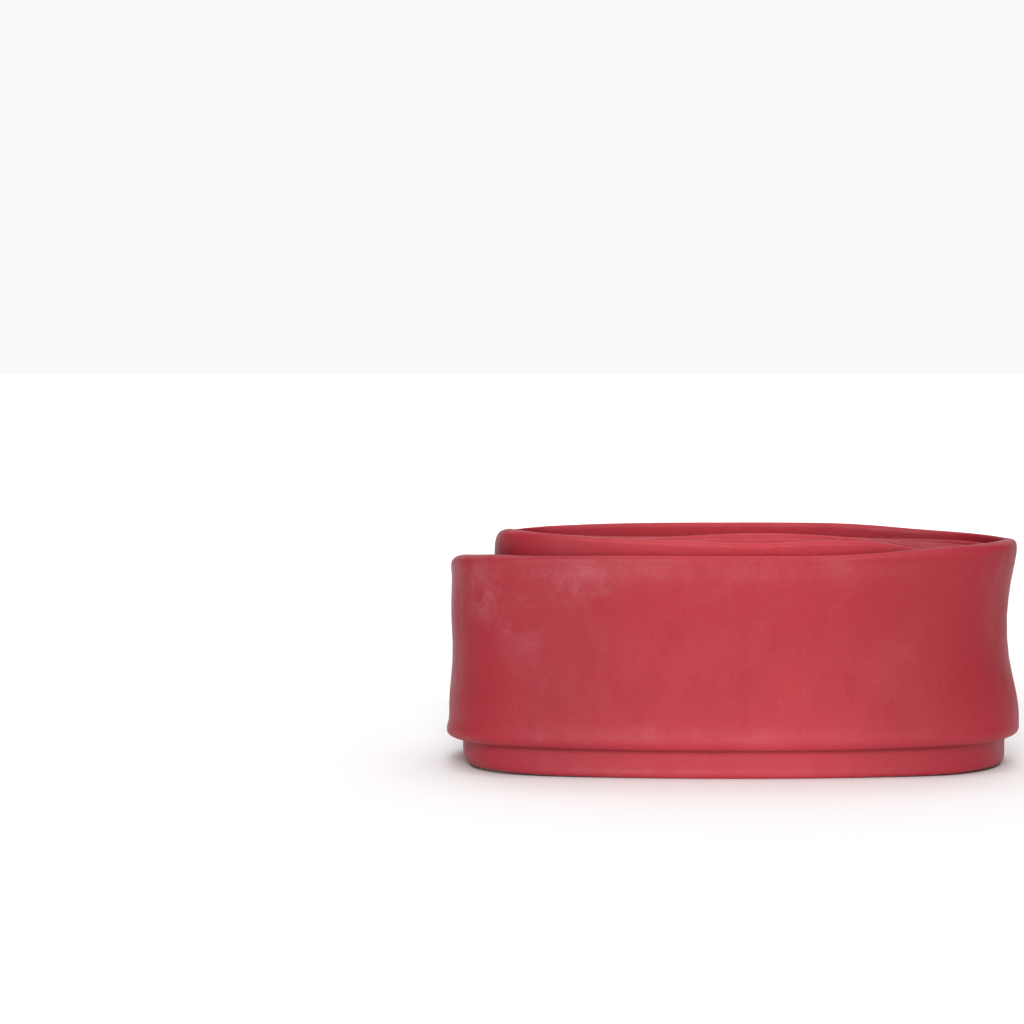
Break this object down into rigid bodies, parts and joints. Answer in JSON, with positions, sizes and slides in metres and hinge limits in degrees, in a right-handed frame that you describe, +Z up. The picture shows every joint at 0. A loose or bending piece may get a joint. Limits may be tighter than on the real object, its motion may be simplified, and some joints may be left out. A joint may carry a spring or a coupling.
{
  "type": "bicycle inner tube",
  "caption": "Thin latex inner tube, collapsed flat, doubled and wound into an oval roll that stands on its edge, with its long slim valve lying in the open core.",
  "frame": {"origin": "under the middle of the roll, on the surface that it stands on", "axes": "+Z up, across the collapsed tube's width; +X along the roll's length and along the valve towards its cap; -Y is the front"},
  "size_m": [0.104, 0.0464, 0.0436],
  "materials": {
    "latex": "satin, with a trace of talc",
    "patch_rubber": "satin",
    "foot_rubber": "matte",
    "stem_metal": "bright, fine turned lines",
    "brass": "turned",
    "seal_rubber": "matte",
    "cap_plastic": "moulded"
  },
  "bodies": {
    "roll": {"tube": "latex", "valve_patch": "patch_rubber", "valve_foot": "foot_rubber", "valve_stem": "stem_metal"},
    "core": {"core_body": "brass", "core_gasket": "seal_rubber"},
    "pin": {"core_pin": "brass", "pin_seal": "seal_rubber", "seal_retainer": "brass"},
    "nut": {"pin_nut": "brass"},
    "cap": {"valve_cap": "cap_plastic"}
  },
  "joints": [
    {"name": "core_out", "type": "slide", "parent": "roll", "child": "core", "axis": [1, 0, 0], "range_m": [0, 0.014]},
    {"name": "cap_off", "type": "slide", "parent": "core", "child": "cap", "axis": [1, 0, 0], "range_m": [0, 0.012]},
    {"name": "pin_press", "type": "slide", "parent": "core", "child": "pin", "axis": [-1, 0, 0], "range_m": [0, 0.0005]},
    {"name": "nut_travel", "type": "slide", "parent": "pin", "child": "nut", "axis": [1, 0, 0], "range_m": [-0.0005, 0.00045]}
  ]
}
